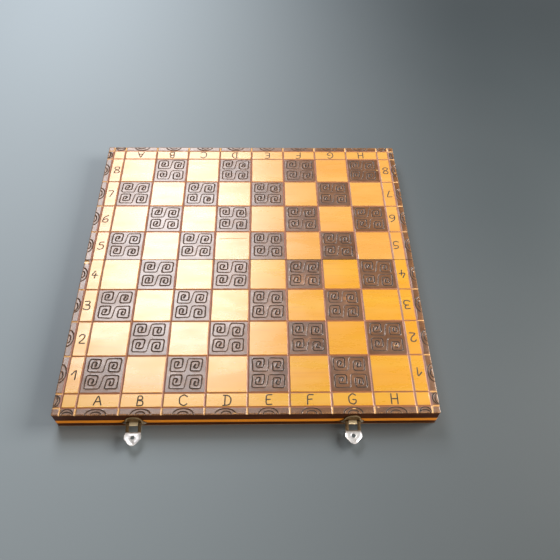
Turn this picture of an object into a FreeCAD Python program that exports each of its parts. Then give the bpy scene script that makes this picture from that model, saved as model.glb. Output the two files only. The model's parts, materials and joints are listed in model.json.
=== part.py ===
import FreeCAD, Part
import os

# Folding wooden chess board, opened flat with its playing face up.
# Millimetres. X runs along the fold, Y points away from the clasped front edge, Z is up.
# The origin is the middle of the front half's meeting edge, on the plane of the rims it rests on.
# The front half lies at y <= 0 and the back half at y >= SEAM. Closed, the two rims meet and
# the halves make a box for the chessmen, with the playing face outside.

# Playing face
SQUARE = 44.0
SQUARES = 8
LABEL_BAND = 16.0
BORDER = 8.0
GROOVE_WIDTH = 2.4
GROOVE_DEPTH = 0.8

# Box halves
HALF_HEIGHT = 27.0
PANEL_THICKNESS = 4.0
RAIL_THICKNESS = 10.0
CORNER_RADIUS = 1.5
SEAM = 0.5

# Butt hinges between the two rims
HINGE_X = 110.0
HINGE_LENGTH = 32.0
HINGE_LEAF_WIDTH = 9.0
HINGE_LEAF_THICKNESS = 0.8
FOLD_DROP = 0.15
HINGE_KNUCKLE_RADIUS = 1.5
HINGE_PIN_RADIUS = 0.75
HINGE_MIDDLE_KNUCKLE = 11.0
HINGE_SCREW_PITCH = 11.0
HINGE_SCREW_Y = -5.4
SCREW_HEAD_RADIUS = 1.9
SCREW_SHANK_RADIUS = 1.0
SCREW_LENGTH = 9.0
SCREW_SLOT_WIDTH = 0.5
SCREW_SLOT_DEPTH = 0.4

# Clasps on the front rail, keepers on the back rail
CLASP_X = {"left": -118.0, "right": 110.0}
CLASP_AXIS_Z = 11.0
CLASP_KNUCKLE_RADIUS = 2.0
CLASP_PIN_RADIUS = 0.9
CLASP_MIDDLE_KNUCKLE = 8.8
CLASP_SPAN = 16.6
SHEET = 0.8
PLATE_HALF_WIDTH = 8.4
PLATE_ARCH_Z = 14.6
PLATE_BOTTOM_Z = 4.6
LOBE_X = 10.4
LOBE_RADIUS = 2.6
BASE_LOBE_Z = 8.0
KEEPER_BOTTOM_Z = 0.6
KEEPER_TOP_Z = 8.4
KEEPER_LOBE_Z = 6.0
NUB_RADIUS = 1.7
NUB_HEIGHT = 1.6
NUB_ROUNDING = 1.02
NAIL_SHANK_RADIUS = 0.7
NAIL_LENGTH = 7.0
NAIL_HEAD_RADIUS = 1.3
NAIL_HEAD_HEIGHT = 0.6
NAIL_HEAD_ROUNDING = 0.42

# Hasp, measured from its pivot along the tongue
HASP_WINDOW_HALF_WIDTH = 4.7
HASP_WINDOW_END = 8.3
HASP_WINDOW_CORNER = 1.0
HASP_ARM_HALF_WIDTH = 8.0
HASP_BEND = 8.6
HASP_OFFSET = 1.5
HASP_SHOULDER = 10.5
HASP_WIDEST_START = 12.0
HASP_WIDEST_END = 15.6
HASP_WIDEST_HALF_WIDTH = 8.7
HASP_NOSE = 21.6
HASP_NOSE_HALF_WIDTH = 3.6
HASP_TIP = 23.4
HASP_TIP_HALF_WIDTH = 0.8
HASP_LIP_START = 21.4
HASP_LIP_RISE = 1.0
HASP_HOLE = 14.1
HASP_HOLE_RADIUS = 2.15

# Working clearances, the length a cutter passes beyond what it cuts, and the closeness of equal places
RUNNING = 0.05
CLEARANCE = 0.3
OVERCUT = 1.0
TOUCHING = 0.01

# Derived sizes
BOARD = SQUARES * SQUARE + 2 * (LABEL_BAND + BORDER)
HALF_WIDTH = BOARD / 2
HALF_LENGTH = BOARD / 2
PANEL_Z = HALF_HEIGHT - PANEL_THICKNESS
FOLD_Y = SEAM / 2
CLASP_AXIS_Y = -HALF_LENGTH - SHEET - CLEARANCE - CLASP_KNUCKLE_RADIUS
NUB_Z = HASP_HOLE - CLASP_AXIS_Z - 2 * FOLD_DROP

X_AXIS = FreeCAD.Vector(1, 0, 0)
Y_AXIS = FreeCAD.Vector(0, 1, 0)
Z_AXIS = FreeCAD.Vector(0, 0, 1)


def box(x0, x1, y0, y1, z0, z1):
    """An axis-aligned block between two corners."""
    corner = FreeCAD.Vector(x0, y0, z0)
    return Part.makeBox(x1 - x0, y1 - y0, z1 - z0, corner)


def rod(x0, x1, y, z, radius):
    """A cylinder along X."""
    return Part.makeCylinder(radius, x1 - x0, FreeCAD.Vector(x0, y, z), X_AXIS)


def prism(points, along):
    """The closed outline through the points, pushed along a vector."""
    corners = [FreeCAD.Vector(*p) for p in points]
    outline = Part.makePolygon(corners + corners[:1])
    return Part.Face(outline).extrude(along)


def joined(shapes):
    """One solid from touching or overlapping solids, without seams between coplanar faces."""
    return shapes[0].multiFuse(shapes[1:]).removeSplitter()


def turned(shape):
    """The shape turned half round about the upright line through the middle of the seam."""
    copy = shape.copy()
    copy.rotate(FreeCAD.Vector(0, FOLD_Y, 0), Z_AXIS, 180)
    return copy


def moved(shape, x):
    """The shape moved along X."""
    copy = shape.copy()
    copy.translate(FreeCAD.Vector(x, 0, 0))
    return copy


def upright_edges(block):
    """The block's edges along Z."""
    return [e for e in block.Edges if abs(e.Vertexes[0].Z - e.Vertexes[-1].Z) > TOUCHING]


def rounded_outer_corners(block):
    """The block with its upright edges on the clasped side's two outer corners rounded."""
    corners = [e for e in upright_edges(block) if abs(e.CenterOfMass.y + HALF_LENGTH) < TOUCHING]
    return block.makeFillet(CORNER_RADIUS, corners)


# ---- Playing panels -------------------------------------------------------------------


def grid_lines():
    """Distances from the middle of the board to every engraved line on one side of it."""
    ranks = [SQUARE * i for i in range(SQUARES // 2 + 1)]
    return ranks + [HALF_WIDTH - BORDER]


def groove_along_y(x):
    """The cutter of a V groove that runs from the seam to the outer edge."""
    top = HALF_HEIGHT
    w = GROOVE_WIDTH / 2
    section = [(x - w, 0, top), (x + w, 0, top), (x, 0, top - GROOVE_DEPTH)]
    return prism(section, FreeCAD.Vector(0, -HALF_LENGTH, 0))


def groove_along_x(y):
    """The cutter of a V groove that runs the whole width of the board."""
    top = HALF_HEIGHT
    w = GROOVE_WIDTH / 2
    section = [(-HALF_WIDTH, y - w, top), (-HALF_WIDTH, y + w, top)]
    section.append((-HALF_WIDTH, y, top - GROOVE_DEPTH))
    return prism(section, FreeCAD.Vector(BOARD, 0, 0))


def playing_panel():
    """The front half's plywood panel, engraved between the squares, labels and border."""
    block = box(-HALF_WIDTH, HALF_WIDTH, -HALF_LENGTH, 0, PANEL_Z, HALF_HEIGHT)
    panel = rounded_outer_corners(block)
    cutters = []
    for distance in grid_lines():
        for side in {distance, -distance}:
            cutters.append(groove_along_y(side))
        if distance > 0:
            cutters.append(groove_along_x(-distance))
    return panel.cut(cutters).removeSplitter()


# ---- Rails ----------------------------------------------------------------------------


def outer_rail():
    """The rail along the front edge, full width."""
    inner_y = RAIL_THICKNESS - HALF_LENGTH
    block = box(-HALF_WIDTH, HALF_WIDTH, -HALF_LENGTH, inner_y, 0, PANEL_Z)
    return rounded_outer_corners(block)


def side_rail():
    """The left-hand rail of the front half, between its outer and hinge rails."""
    inner_x = RAIL_THICKNESS - HALF_WIDTH
    return box(-HALF_WIDTH, inner_x, RAIL_THICKNESS - HALF_LENGTH, -RAIL_THICKNESS, 0, PANEL_Z)


def hinge_rail():
    """The rail along the seam, housed for two hinge leaves and cleared around their barrels."""
    rail = box(-HALF_WIDTH, HALF_WIDTH, -RAIL_THICKNESS, 0, 0, PANEL_Z)
    cutters = []
    for x in (-HINGE_X, HINGE_X):
        x0, x1 = x - HINGE_LENGTH / 2, x + HINGE_LENGTH / 2
        cutters.append(box(x0, x1, -HINGE_LEAF_WIDTH, 0, 0, HINGE_LEAF_THICKNESS))
        relief = HINGE_KNUCKLE_RADIUS + CLEARANCE
        cutters.append(rod(x0 - CLEARANCE, x1 + CLEARANCE, FOLD_Y, -FOLD_DROP, relief))
        cutters += [moved(screw_blank(), x + dx) for dx in screw_offsets()]
    return rail.cut(cutters)


# ---- Hinges ---------------------------------------------------------------------------


def hinge_plate():
    """The flat of a front leaf, centred on x = 0, stopping short of the barrel."""
    barrel_edge = FOLD_Y - HINGE_KNUCKLE_RADIUS - CLEARANCE
    half = HINGE_LENGTH / 2
    return box(-half, half, -HINGE_LEAF_WIDTH, barrel_edge, 0, HINGE_LEAF_THICKNESS)


def hinge_knuckle(x0, x1, bore_radius):
    """A stretch of barrel with the tab that joins it to the front leaf."""
    outside = rod(x0, x1, FOLD_Y, -FOLD_DROP, HINGE_KNUCKLE_RADIUS)
    barrel_edge = FOLD_Y - HINGE_KNUCKLE_RADIUS - CLEARANCE
    tab = box(x0, x1, barrel_edge, FOLD_Y, 0, HINGE_LEAF_THICKNESS)
    bore = rod(x0, x1, FOLD_Y, -FOLD_DROP, bore_radius)
    return outside.fuse(tab).cut(bore)


def hinge_front_leaf():
    """The leaf with the two end knuckles, which grip the pin."""
    half = HINGE_LENGTH / 2
    inner = HINGE_MIDDLE_KNUCKLE / 2 + CLEARANCE
    left = hinge_knuckle(-half, -inner, HINGE_PIN_RADIUS)
    right = hinge_knuckle(inner, half, HINGE_PIN_RADIUS)
    leaf = joined([hinge_plate(), left, right])
    return leaf.cut([moved(screw_blank(), dx) for dx in screw_offsets()])


def hinge_back_leaf():
    """The leaf with the middle knuckle, which turns on the pin."""
    half = HINGE_MIDDLE_KNUCKLE / 2
    knuckle = hinge_knuckle(-half, half, HINGE_PIN_RADIUS + RUNNING)
    leaf = joined([hinge_plate(), knuckle])
    return turned(leaf.cut([moved(screw_blank(), dx) for dx in screw_offsets()]))


def hinge_pin():
    """The pin through all three knuckles."""
    return rod(-HINGE_LENGTH / 2, HINGE_LENGTH / 2, FOLD_Y, -FOLD_DROP, HINGE_PIN_RADIUS)


def screw_offsets():
    """Where a leaf's three screws stand, from its middle."""
    return (-HINGE_SCREW_PITCH, 0, HINGE_SCREW_PITCH)


def screw_blank():
    """A countersunk screw at x = 0 with its head flush in the rim, before its slot is cut."""
    centre = FreeCAD.Vector(0, HINGE_SCREW_Y, 0)
    head = Part.makeCone(SCREW_HEAD_RADIUS, SCREW_SHANK_RADIUS, HINGE_LEAF_THICKNESS, centre, Z_AXIS)
    shank = Part.makeCylinder(SCREW_SHANK_RADIUS, SCREW_LENGTH, centre, Z_AXIS)
    return head.fuse(shank)


def hinge_screw():
    """The screw with its driver slot."""
    reach = SCREW_HEAD_RADIUS + OVERCUT
    w = SCREW_SLOT_WIDTH / 2
    slot = box(-reach, reach, HINGE_SCREW_Y - w, HINGE_SCREW_Y + w, -OVERCUT, SCREW_SLOT_DEPTH)
    return screw_blank().cut(slot)


def hinge_screws():
    """The six screws of the front leaves."""
    places = [x + dx for x in (-HINGE_X, HINGE_X) for dx in screw_offsets()]
    return [moved(hinge_screw(), x) for x in places]


# ---- Clasps ---------------------------------------------------------------------------


def disc(x, z, radius):
    """A round patch of sheet on the front face."""
    centre = FreeCAD.Vector(x, -HALF_LENGTH, z)
    return Part.makeCylinder(radius, SHEET, centre, -Y_AXIS)


def sheet_patch(half_width, z0, z1):
    """A rectangular patch of sheet on the front face."""
    return box(-half_width, half_width, -HALF_LENGTH - SHEET, -HALF_LENGTH, z0, z1)


def lobes(z):
    """The two ears of a plate, with the bar that joins them."""
    ears = [disc(x, z, LOBE_RADIUS) for x in (-LOBE_X, LOBE_X)]
    return ears + [sheet_patch(LOBE_X, z - LOBE_RADIUS, z + LOBE_RADIUS)]


def rounded_crown(post, y, radius):
    """The round post with the rim of its end at y rounded over."""
    rim = [e for e in post.Edges if abs(e.CenterOfMass.y - y) < TOUCHING]
    return post.makeFillet(radius, rim)


def nail(x, z):
    """A round-headed nail driven through a plate into the rail behind it."""
    face = -HALF_LENGTH - SHEET
    seat = FreeCAD.Vector(x, face, z)
    head = Part.makeCylinder(NAIL_HEAD_RADIUS, NAIL_HEAD_HEIGHT, seat, -Y_AXIS)
    head = rounded_crown(head, face - NAIL_HEAD_HEIGHT, NAIL_HEAD_ROUNDING)
    shank = Part.makeCylinder(NAIL_SHANK_RADIUS, NAIL_LENGTH, seat, Y_AXIS)
    return head.fuse(shank).removeSplitter()


def plate_nails(z):
    """The two nails of a plate whose ears are at height z."""
    return [nail(x, z) for x in (-LOBE_X, LOBE_X)]


def clasp_base_plate():
    """The arched plate on the front rail, with the knuckle that grips the hasp's pin."""
    arch = disc(0, PLATE_ARCH_Z, PLATE_HALF_WIDTH)
    skirt = sheet_patch(PLATE_HALF_WIDTH, PLATE_BOTTOM_Z, PLATE_ARCH_Z)
    plate = joined([arch, skirt] + lobes(BASE_LOBE_Z))
    half = CLASP_MIDDLE_KNUCKLE / 2
    roll = rod(-half, half, CLASP_AXIS_Y, CLASP_AXIS_Z, CLASP_KNUCKLE_RADIUS)
    roll_top = CLASP_AXIS_Z + CLASP_KNUCKLE_RADIUS
    web = box(-half, half, CLASP_AXIS_Y, -HALF_LENGTH, roll_top - SHEET, roll_top)
    bore = rod(-half, half, CLASP_AXIS_Y, CLASP_AXIS_Z, CLASP_PIN_RADIUS)
    return joined([plate, roll, web]).cut([bore] + plate_nails(BASE_LOBE_Z))


def clasp_pin():
    """The pin that the hasp swings on."""
    return rod(-CLASP_SPAN / 2, CLASP_SPAN / 2, CLASP_AXIS_Y, CLASP_AXIS_Z, CLASP_PIN_RADIUS)


def hasp_outline():
    """Half widths of the hasp at distances from its pivot, on one side."""
    return [
        (0.0, HASP_ARM_HALF_WIDTH),
        (HASP_SHOULDER, HASP_ARM_HALF_WIDTH),
        (HASP_WIDEST_START, HASP_WIDEST_HALF_WIDTH),
        (HASP_WIDEST_END, HASP_WIDEST_HALF_WIDTH),
        (HASP_NOSE, HASP_NOSE_HALF_WIDTH),
        (HASP_TIP, HASP_TIP_HALF_WIDTH),
    ]


def hasp_side_profile():
    """The bent strip seen from the side, lying flat: arms that drop to a tongue with a raised lip."""
    pivot = (CLASP_AXIS_Y, CLASP_AXIS_Z)
    centre_line = [
        (0.0, 0.0),
        (HASP_BEND, -HASP_OFFSET),
        (HASP_LIP_START, -HASP_OFFSET),
        (HASP_TIP, HASP_LIP_RISE - HASP_OFFSET),
    ]
    half = SHEET / 2
    upper = [(0, pivot[0] - s, pivot[1] + rise + half) for s, rise in centre_line]
    lower = [(0, pivot[0] - s, pivot[1] + rise - half) for s, rise in centre_line]
    return upper + lower[::-1]


def hasp_blank():
    """The flat blank's outline with its window and hole, as a tall block to intersect with."""
    side = [(w, CLASP_AXIS_Y - s, 0) for s, w in hasp_outline()]
    other = [(-x, y, z) for x, y, z in side]
    top = 2 * CLASP_AXIS_Z
    block = prism(side + other[::-1], FreeCAD.Vector(0, 0, top))
    w = HASP_WINDOW_HALF_WIDTH
    start = CLASP_AXIS_Y + CLASP_KNUCKLE_RADIUS + OVERCUT
    window = box(-w, w, CLASP_AXIS_Y - HASP_WINDOW_END, start, -OVERCUT, top + OVERCUT)
    far = [e for e in upright_edges(window) if e.CenterOfMass.y < CLASP_AXIS_Y]
    window = window.makeFillet(HASP_WINDOW_CORNER, far)
    centre = FreeCAD.Vector(0, CLASP_AXIS_Y - HASP_HOLE, -OVERCUT)
    hole = Part.makeCylinder(HASP_HOLE_RADIUS, top + 2 * OVERCUT, centre, Z_AXIS)
    return block.cut([window, hole])


def clasp_hasp():
    """The swinging hasp, lying level as it does when the board is open."""
    reach = HASP_WIDEST_HALF_WIDTH + OVERCUT
    strip = prism(hasp_side_profile(), FreeCAD.Vector(2 * reach, 0, 0))
    strip.translate(FreeCAD.Vector(-reach, 0, 0))
    leaf = strip.common(hasp_blank())
    near, far = HASP_WINDOW_HALF_WIDTH, CLASP_SPAN / 2
    knuckles = []
    for x0, x1 in ((-far, -near), (near, far)):
        knuckles.append(rod(x0, x1, CLASP_AXIS_Y, CLASP_AXIS_Z, CLASP_KNUCKLE_RADIUS))
    bore = rod(-far, far, CLASP_AXIS_Y, CLASP_AXIS_Z, CLASP_PIN_RADIUS + RUNNING)
    return joined([leaf] + knuckles).cut(bore)


def keeper():
    """The plate on the back rail, built on the front face, with the nub that fills the hasp's hole."""
    middle = sheet_patch(PLATE_HALF_WIDTH, KEEPER_BOTTOM_Z, KEEPER_TOP_Z)
    plate = joined([middle] + lobes(KEEPER_LOBE_Z))
    face = -HALF_LENGTH - SHEET
    nub = Part.makeCylinder(NUB_RADIUS, NUB_HEIGHT, FreeCAD.Vector(0, face, NUB_Z), -Y_AXIS)
    nub = rounded_crown(nub, face - NUB_HEIGHT, NUB_ROUNDING)
    return joined([plate, nub]).cut(plate_nails(KEEPER_LOBE_Z))


# ---- Assembly -------------------------------------------------------------------------


def wooden_parts():
    """Panels and rails of both halves. The back half is the front one turned half round."""
    clasp_nails = [moved(n, x) for x in CLASP_X.values() for n in plate_nails(BASE_LOBE_Z)]
    keeper_nails = [moved(n, -x) for x in CLASP_X.values() for n in plate_nails(KEEPER_LOBE_Z)]
    panel = playing_panel()
    rail = outer_rail()
    left = side_rail()
    right = left.mirror(FreeCAD.Vector(0, 0, 0), X_AXIS)
    seam_rail = hinge_rail()
    return {
        "front_playing_panel": panel,
        "front_outer_rail": rail.cut(clasp_nails),
        "front_hinge_rail": seam_rail,
        "front_left_rail": left,
        "front_right_rail": right,
        "back_playing_panel": turned(panel),
        "back_outer_rail": turned(rail.cut(keeper_nails)),
        "back_hinge_rail": turned(seam_rail),
        "back_left_rail": turned(right),
        "back_right_rail": turned(left),
    }


def hinge_parts():
    """Two butt hinges and the screws of both their leaves."""
    parts = {
        "hinge_screws_front": Part.makeCompound(hinge_screws()),
        "hinge_screws_back": Part.makeCompound([turned(s) for s in hinge_screws()]),
    }
    for side, x in (("left", -HINGE_X), ("right", HINGE_X)):
        parts[side + "_hinge_front_leaf"] = moved(hinge_front_leaf(), x)
        parts[side + "_hinge_back_leaf"] = moved(hinge_back_leaf(), x)
        parts[side + "_hinge_pin"] = moved(hinge_pin(), x)
    return parts


def clasp_parts():
    """Two clasps on the front rail, the keepers opposite them on the back rail, and their nails."""
    parts = {}
    front_nails = []
    back_nails = []
    for side, x in CLASP_X.items():
        parts[side + "_clasp_base_plate"] = moved(clasp_base_plate(), x)
        parts[side + "_clasp_pin"] = moved(clasp_pin(), x)
        parts[side + "_clasp_hasp"] = moved(clasp_hasp(), x)
        parts[side + "_keeper"] = turned(moved(keeper(), -x))
        front_nails += [moved(n, x) for n in plate_nails(BASE_LOBE_Z)]
        back_nails += [turned(moved(n, -x)) for n in plate_nails(KEEPER_LOBE_Z)]
    parts["clasp_nails_front"] = Part.makeCompound(front_nails)
    parts["keeper_nails_back"] = Part.makeCompound(back_nails)
    return parts


def main():
    os.makedirs("parts", exist_ok=True)
    parts = {**wooden_parts(), **hinge_parts(), **clasp_parts()}
    for name, shape in parts.items():
        shape.exportStep(os.path.join("parts", name + ".step"))


main()
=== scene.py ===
import json
import math

import bmesh
import bpy
import numpy as np
from mathutils import Matrix, Vector
from mathutils.geometry import delaunay_2d_cdt

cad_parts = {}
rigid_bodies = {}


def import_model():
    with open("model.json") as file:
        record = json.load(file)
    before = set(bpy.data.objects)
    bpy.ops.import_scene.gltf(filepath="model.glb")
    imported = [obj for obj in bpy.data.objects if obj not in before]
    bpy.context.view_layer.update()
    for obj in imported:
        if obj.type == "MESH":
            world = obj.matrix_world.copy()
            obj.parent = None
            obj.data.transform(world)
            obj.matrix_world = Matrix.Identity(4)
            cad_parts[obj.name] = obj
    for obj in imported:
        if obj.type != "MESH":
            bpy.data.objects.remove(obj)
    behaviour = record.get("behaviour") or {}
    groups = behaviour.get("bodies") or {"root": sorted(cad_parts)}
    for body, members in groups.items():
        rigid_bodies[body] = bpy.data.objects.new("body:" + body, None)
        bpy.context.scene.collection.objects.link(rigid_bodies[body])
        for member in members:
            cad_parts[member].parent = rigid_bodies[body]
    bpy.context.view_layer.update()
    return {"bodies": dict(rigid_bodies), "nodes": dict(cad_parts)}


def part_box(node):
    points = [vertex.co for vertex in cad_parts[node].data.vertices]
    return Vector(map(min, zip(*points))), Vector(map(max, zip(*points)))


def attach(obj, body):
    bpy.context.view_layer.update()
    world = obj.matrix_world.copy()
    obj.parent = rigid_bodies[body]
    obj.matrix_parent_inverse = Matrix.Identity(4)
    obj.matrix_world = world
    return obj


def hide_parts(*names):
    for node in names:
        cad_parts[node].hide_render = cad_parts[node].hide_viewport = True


# Folding chess board, lying open. The CAD rails, hinges, pins, screws and nails stay, and get
# finishes. The two playing panels are replaced by carved ones, split into strips along the file
# grooves, with the rails' finish on their outer edges. The sheet-metal clasps and keepers are
# replaced by stamped ones.

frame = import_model()

MM = 0.001
SEED = 8

# ---- Layout of the playing face, in millimetres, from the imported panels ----

SQUARES = 8
BORDER = 8.0
LABEL = 16.0
PANEL_LOW, PANEL_HIGH = (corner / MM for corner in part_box("front_playing_panel"))
BACK_LOW, BACK_HIGH = (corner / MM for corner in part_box("back_playing_panel"))
HALF_WIDTH = PANEL_HIGH.x
TOP = PANEL_HIGH.z
BOTTOM = PANEL_LOW.z
HALF_REACH = -PANEL_LOW.y
SQUARE = (HALF_WIDTH - BORDER - LABEL) * 2 / SQUARES
CORNER = 1.5

# Engraved grid: V grooves that waver a little, as a hand tool leaves them
FILE_HALF_WIDTH = 1.45
RANK_HALF_WIDTH = 1.15
FILE_DEPTH = 0.8
RANK_DEPTH = 0.6
GRID_WAVER = 0.07
GRID_STEP = 5.0
GRID_GUARD = 0.35

# A groove's waver comes from its number. The ranks' count on from the first of these, and the
# second is added for each rank of the board before the half's own.
RANK_SEED = 100
HALF_SEED = 50

# Where a groove bends on either side of its line: share of its half width, and what is added
GROOVE_RAILS = ((0, 0), (0.5, 0), (1, 0), (1, GRID_GUARD))

# Rounding of the outer top edge and of the edges along the seam
EDGE_RADIUS = 1.0
EDGE_DROP = 0.6
SEAM_RADIUS = 0.6
SEAM_DROP = 0.35
EDGE_RAILS = (0.12, 0.45, EDGE_RADIUS, EDGE_RADIUS + GRID_GUARD)
SEAM_RAILS = (0.15, SEAM_RADIUS)
EDGE_RAGGEDNESS = 0.35
EDGE_WEAR_REACH = 2.5
LEAST_THICKNESS = 1.0

# Where the profile of a burnt line bends, in half widths from its middle: within its hollow, at
# the hollow's edge, and at the top and the foot of the raised lip
LINE_RAILS = (0.55, 1.0, 1.45, 2.0)
HOLLOW_FULLNESS = 0.8

# The lip's height as a share of the hollow's depth, its reach, and where the char fades out
LIP_SHARE = 0.42
LIP_REACH = 0.6
BURN_END = 1.35
BURN_FADE = 0.5

# Faces of the panels that meet at more degrees than this have a sharp edge between them
SHARP_WOOD = 24


def unit(values):
    """The values, none below 0 or above 1."""
    return np.clip(values, 0, 1)


def pairs(a, b):
    """Points from their two coordinates, where one number stands for all the points."""
    return np.column_stack(np.broadcast_arrays(a, b))


def waver(line, along):
    """How much wider or narrower a grid groove is at places along it."""
    phase = np.random.default_rng([SEED, 7, line]).uniform(0, 2 * math.pi, 3)
    slow = np.sin(along / 6.1 + phase[0]) + np.sin(along / 2.3 + phase[1])
    return 1 + GRID_WAVER * (slow + 0.6 * np.sin(along / 0.9 + phase[2]))


class Half:
    """Where the lines of one half of the board run."""

    def __init__(self, name, seam, outer, first_rank):
        self.name = name
        self.seam = seam
        self.outer = outer
        self.first_rank = first_rank
        self.inward = 1 if outer < seam else -1
        ranks = [seam - self.inward * SQUARE * k for k in range(SQUARES // 2 + 1)]
        self.rows = sorted(ranks + [outer + self.inward * BORDER, outer])
        self.low = min(seam, outer)
        self.high = max(seam, outer)

    def edge_distance(self, p):
        """Distance of points from the outer edge of the board, round its two corners."""
        dx = HALF_WIDTH - np.abs(p[:, 0])
        dy = np.abs(self.outer - p[:, 1])
        inside = np.minimum(dx, dy)
        corner = (dx < CORNER) & (dy < CORNER)
        return np.where(corner, CORNER - np.hypot(CORNER - dx, CORNER - dy), inside)

    def rank_width(self, line, along):
        """Half width of a rank groove at places along it."""
        return RANK_HALF_WIDTH * waver(RANK_SEED + line + HALF_SEED * self.first_rank, along)


HALVES = (
    Half("front", PANEL_HIGH.y, PANEL_LOW.y, 0),
    Half("back", BACK_LOW.y, BACK_HIGH.y, SQUARES // 2),
)
FILES = [(k - SQUARES / 2) * SQUARE for k in range(SQUARES + 1)]
COLUMNS = [-HALF_WIDTH, BORDER - HALF_WIDTH] + FILES + [HALF_WIDTH - BORDER, HALF_WIDTH]


# ---- Burnt lines ----


class Line:
    """A burnt line: points, half width at each, depth, and how dark it is."""

    def __init__(self, points, half_width, depth, burn=1.0):
        self.points = np.array(points, float)
        self.half_width, self.depth, self.burn = (
            np.broadcast_to(value, len(self.points)) for value in (half_width, depth, burn))


# A rounded corner takes up at most this share of the runs on either side of it
CORNER_SHARE = 0.45


def rounded(points, radius, step):
    """The path with its corners rounded off, and points added along it about a step apart."""
    points = np.array(points, float)
    path = [points[0]]
    for before, corner, after in zip(points, points[1:], points[2:]):
        to_before, to_after = before - corner, after - corner
        before_length, after_length = np.linalg.norm(to_before), np.linalg.norm(to_after)
        reach = min(radius, CORNER_SHARE * before_length, CORNER_SHARE * after_length)
        start = corner + reach * to_before / before_length
        end = corner + reach * to_after / after_length
        for t in (0, 0.25, 0.5, 0.75, 1):
            path.append((1 - t) ** 2 * start + 2 * t * (1 - t) * corner + t * t * end)
    path.append(points[-1])
    dense = [path[0]]
    for a, b in zip(path, path[1:]):
        count = max(1, round(np.linalg.norm(b - a) / step))
        dense += [a + (b - a) * i / count for i in range(1, count + 1)]
    return np.array(dense)


def closed(loop):
    """The loop with its first point again at the end."""
    return np.vstack((loop, loop[:1]))


def loops_round(line):
    """Closed loops round a line at the places where its profile bends, and the line itself."""
    p = line.points
    tangent = np.gradient(p, axis=0)
    tangent /= np.maximum(np.linalg.norm(tangent, axis=1), 1e-9)[:, None]
    normal = pairs(-tangent[:, 1], tangent[:, 0])
    loops = []
    for share in LINE_RAILS:
        reach = (share * line.half_width)[:, None]
        left, right = p + reach * normal, p - reach * normal
        caps = []
        for end, forward, side in ((-1, tangent[-1], normal[-1]), (0, -tangent[0], -normal[0])):
            turns = (math.pi / 4, math.pi / 2, 3 * math.pi / 4)
            arc = [math.cos(t) * side + math.sin(t) * forward for t in turns]
            caps.append(p[end] + reach[end] * np.array(arc))
        loops.append(np.vstack((left, caps[0], right[::-1], caps[1])))
    return loops


def distance_in_widths(p, lines):
    """Each point's distance to the nearest line in half widths, with that line's depth and burn."""
    a = np.vstack([k.points[:-1] for k in lines])
    b = np.vstack([k.points[1:] for k in lines])
    wa = np.concatenate([k.half_width[:-1] for k in lines])
    wb = np.concatenate([k.half_width[1:] for k in lines])
    depth = np.concatenate([k.depth[1:] for k in lines])
    burn = np.concatenate([k.burn[1:] for k in lines])
    run = b - a
    along = ((p[:, None] - a) * run).sum(2) / np.maximum((run ** 2).sum(1), 1e-12)
    along = along.clip(0, 1)
    gap = np.linalg.norm(p[:, None] - a - along[..., None] * run, axis=2)
    scaled = gap / (wa + along * (wb - wa))
    nearest = scaled.argmin(axis=1)
    return scaled[np.arange(len(p)), nearest], depth[nearest], burn[nearest]


# ---- What is drawn in each cell ----

# One row of a dark square's meander, in shares of the square from its top left corner: out of the
# left spiral, under and up between the two, and into the right one, which is the left one turned
LEFT_SPIRAL = (
    (0.278, 0.272), (0.318, 0.172), (0.210, 0.160), (0.194, 0.338), (0.386, 0.342),
    (0.398, 0.082), (0.118, 0.078), (0.106, 0.434), (0.472, 0.436), (0.500, 0.256),
)
MEANDER_ROWS = (0.0, 0.450)
MEANDER_MIDDLE = (0.5, 0.256)
MEANDER_HALF_WIDTH = 0.5
MEANDER_DEPTH = 0.34
MEANDER_LOOSENESS = 0.007
MEANDER_SCALE = (0.97, 1.01)
MEANDER_LEAN = 0.02
MEANDER_CORNER = 2.5
MEANDER_STEP = 1.15

# The ends of the line, in the middles of the spirals, are burnt wider
CENTRE_SWELL = 0.55
SWELL_START = 0.94
SWELL_FULL = 0.965

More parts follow.
